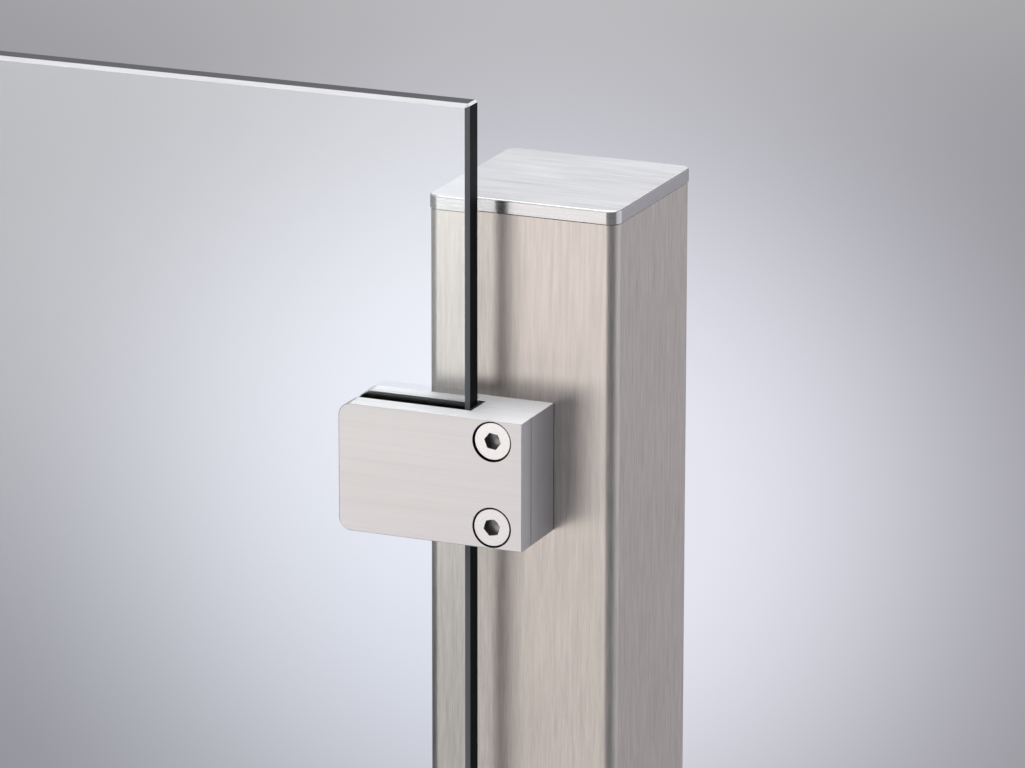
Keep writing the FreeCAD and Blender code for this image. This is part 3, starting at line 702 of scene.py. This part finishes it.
class RAILING_OT_clamps(bpy.types.Operator):
    """Model the covers and bodies of both clamps, with their recesses, threads and grooves"""
    bl_idname = "railing.clamps"
    bl_label = "Clamps"

    def joint(self, high, sizes):
        """Tool for the fine step at the right where a piece meets what lies behind it."""
        low = (high.x - sizes.joint_deep, high.y - sizes.joint_wide, BODY_LOW.z - MM)
        return block("joint", low, (high.x + MM, high.y + MM, BODY_HIGH.z + MM))

    def cover(self, sizes):
        cover = block("upper_cover", COVER_LOW, COVER_HIGH)
        pick(cover, "EDGE", lambda edge: runs(edge, 1) and lies(edge, 0, COVER_LOW.x))
        bevel(sizes.clamp_corner, 12)
        pick(cover, "EDGE", lambda edge: lies(edge, 1, COVER_LOW.y)
             or runs(edge, 1) and lies(edge, 0, COVER_HIGH.x))
        bevel(sizes.clamp_edge, 3)
        work(cover, self.joint(COVER_HIGH, sizes), "DIFFERENCE")
        for key, sink in screw_depths(sizes).items():
            place = SCREW_MIDDLES[key]
            ledge = COVER_LOW.y + sink + sizes.recess_floor
            seat = sizes.head_radius - sizes.seat_inset
            hole = sizes.shank_radius + sizes.bore_room
            wide = sizes.recess_radius
            tool = turned("countersink", place.x, place.z, [
                (COVER_LOW.y - MM, wide),
                (ledge, wide),
                (ledge, seat),
                (ledge + seat - hole, hole),
                (COVER_HIGH.y + MM, hole),
            ])
            work(cover, tool, "DIFFERENCE")
        floor = COVER_HIGH.y - sizes.key_deep - sizes.key_room
        work(cover, key_block("groove", floor, COVER_HIGH.y + MM, sizes, sizes.key_room), "DIFFERENCE")
        return cover

    def body(self, sizes):
        wall = BODY_HIGH.y - sizes.back_wall
        web = -sizes.web_left
        body = block("upper_body", (BODY_LOW.x, wall, BODY_LOW.z), BODY_HIGH)
        slice_at(0, web)
        pick(body, "FACE", lambda face: face.normal.y < -0.9 and face.calc_center_median().x > web)
        push((0.0, BODY_LOW.y - wall, 0.0))
        melt()
        pick(body, "EDGE", lambda edge: runs(edge, 1) and lies(edge, 0, BODY_LOW.x))
        bevel(sizes.clamp_corner, 12)
        pick(body, "EDGE", lambda edge: runs(edge, 1) and lies(edge, 0, BODY_HIGH.x))
        bevel(sizes.clamp_edge, 3)
        work(body, self.joint(BODY_HIGH, sizes), "DIFFERENCE")
        thread = sizes.shank_radius + sizes.thread_room
        for place in SCREW_MIDDLES.values():
            drill = [(BODY_LOW.y - MM, thread), (BODY_HIGH.y - sizes.blind_floor, thread)]
            work(body, turned("thread", place.x, place.z, drill), "DIFFERENCE")
        seat = BODY_HIGH.y - sizes.fixing_seat
        head, shank = sizes.fixing_head + sizes.bore_room, sizes.fixing_radius + sizes.bore_room
        work(body, turned("fixing_hole", FIXING_MIDDLE.x, FIXING_MIDDLE.z, [
            (BODY_LOW.y - MM, head), (seat, head), (seat, shank), (BODY_HIGH.y + MM, shank),
        ]), "DIFFERENCE")
        floor = wall + sizes.key_deep + sizes.key_room
        work(body, key_block("groove", wall - MM, floor, sizes, sizes.key_room), "DIFFERENCE")
        return body

    def look_of(self, face, shift, sizes):
        """Brushed front; satin tops whose darker colour is painted shade; sides with a lighter colour of
        their own as painted light; painted shade in the recesses round the screws.
        """
        for place in SCREW_MIDDLES.values():
            away = (face.center - place - shift).xz.length
            inside = COVER_LOW.y + 0.05 * MM < face.center.y < COVER_HIGH.y
            if inside and away < sizes.recess_radius + 0.01 * MM:
                return 2
        if abs(face.normal.x) > 0.9:
            return 3
        return int(abs(face.normal.z) > 0.95)

    def execute(self, context):
        sizes, finish = settings(context)
        streaks = (26.0, 4200.0, 8.0, 520.0)
        steel = brushed_steel("clamp_steel_brushed", finish.clamp, 0.36, 0.09, streaks)
        # Satin tops: their own finish, with a darker base colour as painted shade.
        satin = brushed_steel("clamp_steel_satin_painted_shade", finish.clamp_top_satin_painted_shade, 0.5, 0.16, streaks,
                              lean=finish.clamp_lean)
        # Painted light: a lighter copy of the clamps' steel for their sides.
        sides = brushed_steel("clamp_steel_sides_painted_light", finish.clamp_side_painted_light, 0.36, 0.08, streaks)
        # Painted shade: near-black walls in the recesses round the screws.
        dark = plain_steel("clamp_recess_painted_shade", finish.recess, 0.45, (1500.0, 1500.0, 1500.0))
        for part, model in (("cover", self.cover(sizes)), ("body", self.body(sizes))):
            smooth(model)
            for level, piece, shift in at_both_levels(model, f"lower_{part}"):
                lay_brushing(piece, ((2, 1), (0, 2), (0, 1)))
                settle(piece, f"{level}_clamp_{part}", [steel, satin, dark, sides],
                       lambda face: self.look_of(face, shift, sizes))
        return {"FINISHED"}


class RAILING_OT_gaskets(bpy.types.Operator):
    """Model the rubber pads in front of and behind the pane, with soft edges and locating keys"""
    bl_idname = "railing.gaskets"
    bl_label = "Gaskets"

    def front(self, sizes):
        low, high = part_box("upper_gasket_front")
        face = low.y + sizes.key_deep
        pad = block("upper_front_pad", (low.x, face, low.z), high)
        self.soften(pad, low, sizes)
        work(pad, key_block("key", low.y, face + 0.5 * MM, sizes, 0.0), "UNION")
        return pad

    def rear(self, sizes):
        low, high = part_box("upper_gasket_rear")
        back = high.y - sizes.key_deep
        pad = block("upper_rear_pad", (low.x, PANE_HIGH.y, low.z), (high.x, back, high.z))
        slice_at(0, PANE_HIGH.x)
        pick(pad, "FACE", lambda face: face.normal.y < -0.9 and face.calc_center_median().x > PANE_HIGH.x)
        push((0.0, low.y - PANE_HIGH.y, 0.0))
        melt()
        self.soften(pad, low, sizes)
        work(pad, key_block("key", back - 0.5 * MM, high.y, sizes, 0.0), "UNION")
        return pad

    def soften(self, pad, low, sizes):
        pick(pad, "EDGE", lambda edge: runs(edge, 1) and lies(edge, 0, low.x))
        bevel(sizes.gasket_corner, 10)
        top = max(point.co.z for point in bmesh.from_edit_mesh(pad.data).verts)
        pick(pad, "EDGE", lambda edge: len(edge.link_faces) == 2 and edge.calc_face_angle() > 0.6
             and edge.is_convex and not runs(edge, 2) and (lies(edge, 2, top) or lies(edge, 2, low.z)))
        bevel(sizes.gasket_round, 3)

    def execute(self, context):
        sizes, finish = settings(context)
        rubber = black_rubber(finish.rubber)
        for part, model in (("front", self.front(sizes)), ("rear", self.rear(sizes))):
            smooth(model)
            for level, piece, _ in at_both_levels(model, f"lower_{part}_pad"):
                settle(piece, f"{level}_gasket_{part}", [rubber])
        return {"FINISHED"}


class RAILING_OT_cover_screws(bpy.types.Operator):
    """Model the countersunk cover screws with their broached sockets"""
    bl_idname = "railing.cover_screws"
    bl_label = "Cover screws"

    def screw(self, name, place, sink, turn, lead_in, sizes):
        face = COVER_LOW.y + sink
        head, shank = sizes.head_radius, sizes.shank_radius
        edge, end = face + sizes.head_break, face + sizes.screw_long
        screw = turned(name, place.x, place.z, [
            (face, head - sizes.head_break),
            (edge, head),
            (edge + head - shank, shank),
            (end - sizes.screw_point, shank),
            (end, shank - sizes.screw_point),
        ])
        deep = sizes.socket_deep
        corner = sizes.socket_flats / math.sqrt(3.0)
        alone()
        bpy.ops.mesh.primitive_cylinder_add(
            vertices=6, radius=corner, depth=deep + MM, end_fill_type="NGON",
            location=(place.x, face + (deep - MM) / 2, place.z),
            rotation=(math.pi / 2, math.radians(30.0 - turn), 0.0))
        work(screw, begin("hexagon"), "DIFFERENCE")
        flat = sizes.socket_flats / 2
        if lead_in:
            lead = turned("lead", place.x, place.z, [
                (face - 0.1 * MM, flat + 0.2 * MM), (face + 0.2 * MM, flat - 0.1 * MM)], 48)
            work(screw, lead, "DIFFERENCE")
        drill = turned("drill", place.x, place.z, [
            (face + deep - 0.05 * MM, flat * 0.9), (face + deep + 0.8 * MM, flat * 0.05)], 48)
        work(screw, drill, "DIFFERENCE")
        smooth(screw)
        return screw

    def look_of(self, face, axis, front, sizes):
        """Bright outside; painted shade in the socket, dark on its walls and paler on its floor."""
        away = (face.center - axis).xz.length
        below = face.center.y - front
        if away > sizes.socket_flats / math.sqrt(3.0) or not 0.15 * MM < below < 5.0 * MM:
            return 0
        return 2 if face.normal.y < -0.3 else 1

    def execute(self, context):
        sizes, finish = settings(context)
        # The socket's walls and floor take darker copies of the screw's steel as painted shade.
        looks = [
            turned_steel("screw_steel_turned", finish.screw, 0.26),
            turned_steel("screw_socket_painted_shade", finish.socket, 0.35),
            turned_steel("screw_socket_bottom_painted_shade", finish.socket_bottom_painted_shade, 0.4),
        ]
        turns = {"a": 52.0, "b": 12.0}
        for key, sink in screw_depths(sizes).items():
            place = SCREW_MIDDLES[key]
            model = self.screw(f"upper_screw_{key}", place, sink, turns[key], key == "b", sizes)
            layer = model.data.uv_layers.new(name="brushing")
            for corner, loop in enumerate(model.data.loops):
                point = model.data.vertices[loop.vertex_index].co - place
                layer.data[corner].uv = (point.x, point.z)
            for level, piece, shift in at_both_levels(model, f"lower_screw_{key}"):
                settle(piece, f"{level}_cover_screw_{key}", looks,
                       lambda face: self.look_of(face, place + shift, COVER_LOW.y + sink, sizes))
        return {"FINISHED"}


class RAILING_OT_fixing_screws(bpy.types.Operator):
    """Finish the fixing screws that hold the clamps to the tube"""
    bl_idname = "railing.fixing_screws"
    bl_label = "Fixing screws"

    def execute(self, context):
        finish = context.scene.railing_finish
        steel = plain_steel("fixing_steel", finish.fixing, 0.3, (3000.0, 3000.0, 3000.0))
        for level in LEVELS:
            finish_node(f"{level}_fixing_screw", steel)
        return {"FINISHED"}


class RAILING_OT_foot(bpy.types.Operator):
    """Model the rippled weld bead round the tube and finish the foot plate"""
    bl_idname = "railing.foot"
    bl_label = "Foot plate and weld"

    def bead(self, sizes):
        low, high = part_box("base_weld")
        inner = high.x - sizes.weld_leg
        toe = low.z + sizes.weld_toe
        bead = block("weld_bead", low, (high.x, high.y, toe))
        pick(bead, "EDGE", lambda edge: runs(edge, 2))
        bevel(sizes.tube_corner + sizes.weld_leg, 12)
        level, half = toe, high.x
        rings = 5
        for step in range(1, rings + 1):
            swing = math.radians(90.0 * step / rings)
            next_half = inner + (high.x - inner) * math.cos(swing)
            next_level = toe + (high.z - toe) * math.sin(swing)
            pick(bead, "FACE", end_face(2, level))
            bpy.ops.mesh.inset(thickness=half - next_half, depth=0.0)
            bpy.ops.transform.translate(value=(0.0, 0.0, next_level - level))
            level, half = next_level, next_half
        pick(bead, "FACE", end_face(2, high.z))
        push((0.0, 0.0, low.z - high.z))
        bpy.ops.mesh.delete(type="FACE")
        pick(bead, "FACE", end_face(2, low.z))
        bpy.ops.mesh.delete(type="FACE")
        pick(bead, "EDGE", lambda edge: edge.is_boundary)
        bpy.ops.mesh.bridge_edge_loops()
        pick(bead, "EDGE", lambda edge: edge.calc_length() > 20.0 * MM)
        parts = 32
        bpy.ops.mesh.subdivide(number_cuts=parts - 1)
        straight = high.x - sizes.tube_corner - sizes.weld_leg
        step = 2.0 * straight / parts
        pick(bead, "VERT", lambda point: low.z + 0.5 * MM < point.co.z < high.z - 0.3 * MM
             and max(abs(point.co.x), abs(point.co.y)) > inner + 0.3 * MM
             and round((min(point.co.xy, key=abs) + straight) / step) % 2 == 1)
        bpy.ops.transform.shrink_fatten(value=sizes.ripple)
        return bead

    def execute(self, context):
        sizes, finish = settings(context)
        bead = self.bead(sizes)
        smooth(bead, 50.0)
        steel = plain_steel("weld_steel_brushed", finish.weld, 0.3, (900.0, 900.0, 900.0))
        settle(bead, "base_weld", [steel])
        satin = plain_steel("plate_steel_satin", finish.plate, 0.34, (60.0, 1600.0, 1600.0))
        finish_node("base_plate", satin)
        return {"FINISHED"}


class RAILING_OT_stage(bpy.types.Operator):
    """Set the floor, the soft lamps, the background and the camera"""
    bl_idname = "railing.stage"
    bl_label = "Stage"

    def floor(self, stage):
        alone()
        bpy.ops.mesh.primitive_circle_add(vertices=96, radius=stage.floor_radius, fill_type="NGON")
        floor = bpy.context.active_object
        floor.name = "floor"
        nodes = Nodes(bpy.data.materials.new("pale_floor"))
        place = nodes.add("ShaderNodeTexCoord").outputs["Object"]
        cloud = nodes.grain(place, (3.0, 3.0, 3.0), 3.0, 0.5, "3D")
        tone = nodes.shaded(cloud, stage.floor, 0.98, 1.02)
        shader = nodes.add("ShaderNodeBsdfPrincipled", {
            "Base Color": tone, "Roughness": 0.85, "Specular IOR Level": 0.1})
        away = nodes.vector("LENGTH", place)
        fade = nodes.soft(away, stage.floor_radius * 0.35, stage.floor_radius, kind="SMOOTHERSTEP")
        clear = nodes.add("ShaderNodeBsdfTransparent")
        mix = nodes.add("ShaderNodeMixShader", {0: fade})
        nodes.feed(mix, 1, shader.outputs[0])
        nodes.feed(mix, 2, clear.outputs[0])
        floor.data.materials.append(nodes.surface(mix))

    def lamp(self, name, power, size, place, target, tint, low_level=1.0):
        """Soft lamp whose lower half fades towards a level at its lower edge."""
        light = bpy.data.lights.new(name, "AREA")
        light.shape = "RECTANGLE"
        light.size, light.size_y = size
        light.energy = power
        light.color = tint
        nodes = Nodes(light)
        place_on = nodes.add("ShaderNodeNewGeometry").outputs["Parametric"]
        rise = nodes.add("ShaderNodeSeparateXYZ", {0: place_on}).outputs[1]
        shine = nodes.add("ShaderNodeEmission", {"Strength": nodes.soft(rise, 0.0, 0.455, low_level)})
        output = nodes.add("ShaderNodeOutputLight")
        nodes.feed(output, "Surface", shine.outputs[0])
        lamp = bpy.data.objects.new(name, light)
        lamp.location = place
        lamp.rotation_euler = (Vector(target) - Vector(place)).to_track_quat("-Z", "Y").to_euler()
        lamp.visible_camera = False
        bpy.context.scene.collection.objects.link(lamp)

    def background(self, scene, stage, ahead, right, up):
        world = bpy.data.worlds.new("studio")
        scene.world = world
        nodes = Nodes(world)
        way = nodes.vector("NORMALIZE", nodes.add("ShaderNodeTexCoord").outputs["Generated"])
        behind_post = nodes.sums("GREATER_THAN", nodes.vector("DOT_PRODUCT", way, ahead), 0.0)

        def patch(across, upward, wide, tall, power):
            """Soft oval of light on the far side of the post, fixed in the world round one direction."""
            parts = []
            for axis, offset, reach in ((right, across, wide), (up, upward, tall)):
                part = nodes.sums("SUBTRACT", nodes.vector("DOT_PRODUCT", way, axis), offset)
                part = nodes.sums("DIVIDE", part, reach)
                parts.append(nodes.sums("MULTIPLY", part, part))
            spread = nodes.sums("POWER", nodes.sums("ADD", *parts), power)
            oval = nodes.sums("EXPONENT", nodes.sums("MULTIPLY", spread, -1.0))
            return nodes.sums("MULTIPLY", oval, behind_post)

        height = nodes.add("ShaderNodeSeparateXYZ", {0: way}).outputs[2]
        above = nodes.soft(height, 0.0, 0.7)

        def towards(axis, full, none):
            """Soft patch round a direction, full inside one angle and gone outside another."""
            part = nodes.vector("DOT_PRODUCT", way, Vector(axis).normalized())
            return nodes.soft(part, math.cos(math.radians(none)), math.cos(math.radians(full)))

        def over(under, factor, tint, blend="MIX"):
            mix = nodes.add("ShaderNodeMix", {"Factor": factor}, data_type="RGBA", blend_type=blend)
            if isinstance(under, bpy.types.NodeSocket):
                nodes.tree.links.new(under, mix.inputs[6])
            else:
                mix.inputs[6].default_value = (*under, 1.0)
            mix.inputs[7].default_value = (*tint, 1.0)
            return mix.outputs[2]

        level = over(stage.surround, towards((-0.97, 0.1, -0.2), 40.0, 54.0), stage.left_flag)
        level = over(level, towards((0.85, -0.5, -0.2), 36.0, 60.0), stage.right_flag)
        lit_above = nodes.soft(height, -0.42, -0.18, 0.2)
        wall = nodes.sums("MULTIPLY", towards((0.897, 0.418, -0.14), 26.0, 46.0), lit_above)
        level = over(level, wall, stage.wall, "ADD")
        level = over(level, above, (stage.overhead,) * 3)
        level = over(level, towards((-0.376, 0.883, 0.36), 14.0, 33.0), stage.back_wall, "ADD")
        level = over(level, towards((-0.33, -0.75, 0.6), 12.0, 22.0), stage.upper_cloth, "ADD")
        level = over(level, patch(0.00364, -0.01836, 0.06442, 0.06015, 1.38), stage.glow, "ADD")
        level = over(level, patch(0.01358, 0.07299, 0.1164, 0.02888, 1.0), stage.upper_glow, "ADD")
        shine = nodes.add("ShaderNodeBackground")
        nodes.feed(shine, "Color", level)
        output = nodes.add("ShaderNodeOutputWorld")
        nodes.feed(output, "Surface", shine.outputs[0])

    def execute(self, context):
        scene, stage = context.scene, context.scene.railing_stage
        ahead = Vector((-math.sin(stage.yaw) * math.cos(stage.pitch),
                        math.cos(stage.yaw) * math.cos(stage.pitch), -math.sin(stage.pitch)))
        level_right = Vector((math.cos(stage.yaw), math.sin(stage.yaw), 0.0))
        level_up = level_right.cross(ahead)
        right = level_right * math.cos(stage.roll) + level_up * math.sin(stage.roll)
        up = level_up * math.cos(stage.roll) - level_right * math.sin(stage.roll)
        top = Vector((0.0, 0.0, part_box("post_tube")[1].z))
        data = bpy.data.cameras.new("camera")
        data.lens = stage.lens
        data.sensor_width = 36.0
        data.clip_end = 200.0
        camera = bpy.data.objects.new("camera", data)
        place = top + right * stage.target_right + up * stage.target_up - ahead * stage.distance
        camera.matrix_world = Matrix.Translation(place) @ Matrix((right, up, -ahead)).transposed().to_4x4()
        scene.collection.objects.link(camera)
        scene.camera = camera
        self.floor(stage)
        self.background(scene, stage, ahead, right, up)
        self.lamp("key_lamp", stage.key_power, size=(1.185, 0.95), place=(-1.12, -2.316, 0.475),
                  target=(0.114, 0.062, 0.475), tint=(1.0, 0.975, 0.955), low_level=0.0)
        self.lamp("fill_lamp", stage.fill_power, size=(0.9, 0.22), place=(-0.55, -1.35, 0.2),
                  target=(0.0, 0.0, 0.95), tint=(1.0, 0.97, 0.94))
        self.lamp("top_lamp", stage.top_power, size=(1.2, 1.2), place=(-0.05, 0.15, 2.5),
                  target=(0.0, 0.0, 1.0), tint=(1.0, 1.0, 1.0))
        scene.view_settings.view_transform = "Standard"
        return {"FINISHED"}


OPERATORS = (
    RAILING_OT_post_tube, RAILING_OT_post_cap, RAILING_OT_glass_pane, RAILING_OT_clamps, RAILING_OT_gaskets,
    RAILING_OT_cover_screws, RAILING_OT_fixing_screws, RAILING_OT_foot, RAILING_OT_stage,
)


class RAILING_PT_pieces(bpy.types.Panel):
    """Pieces of the railing post"""
    bl_idname = "RAILING_PT_pieces"
    bl_label = "Railing post"
    bl_space_type = "VIEW_3D"
    bl_region_type = "UI"
    bl_category = "Railing"

    def draw(self, context):
        for operator in OPERATORS:
            self.layout.operator(operator.bl_idname)


CLASSES = (RailingSizes, RailingFinish, RailingStage, *OPERATORS, RAILING_PT_pieces)


def register():
    for each in CLASSES:
        bpy.utils.register_class(each)
    bpy.types.Scene.railing_sizes = PointerProperty(type=RailingSizes)
    bpy.types.Scene.railing_finish = PointerProperty(type=RailingFinish)
    bpy.types.Scene.railing_stage = PointerProperty(type=RailingStage)


def unregister():
    del bpy.types.Scene.railing_stage
    del bpy.types.Scene.railing_finish
    del bpy.types.Scene.railing_sizes
    for each in reversed(CLASSES):
        bpy.utils.unregister_class(each)


def main():
    register()
    bpy.ops.railing.post_tube()
    bpy.ops.railing.post_cap()
    bpy.ops.railing.glass_pane()
    bpy.ops.railing.clamps()
    bpy.ops.railing.gaskets()
    bpy.ops.railing.cover_screws()
    bpy.ops.railing.fixing_screws()
    bpy.ops.railing.foot()
    bpy.ops.railing.stage()


if __name__ == "__main__":
    main()
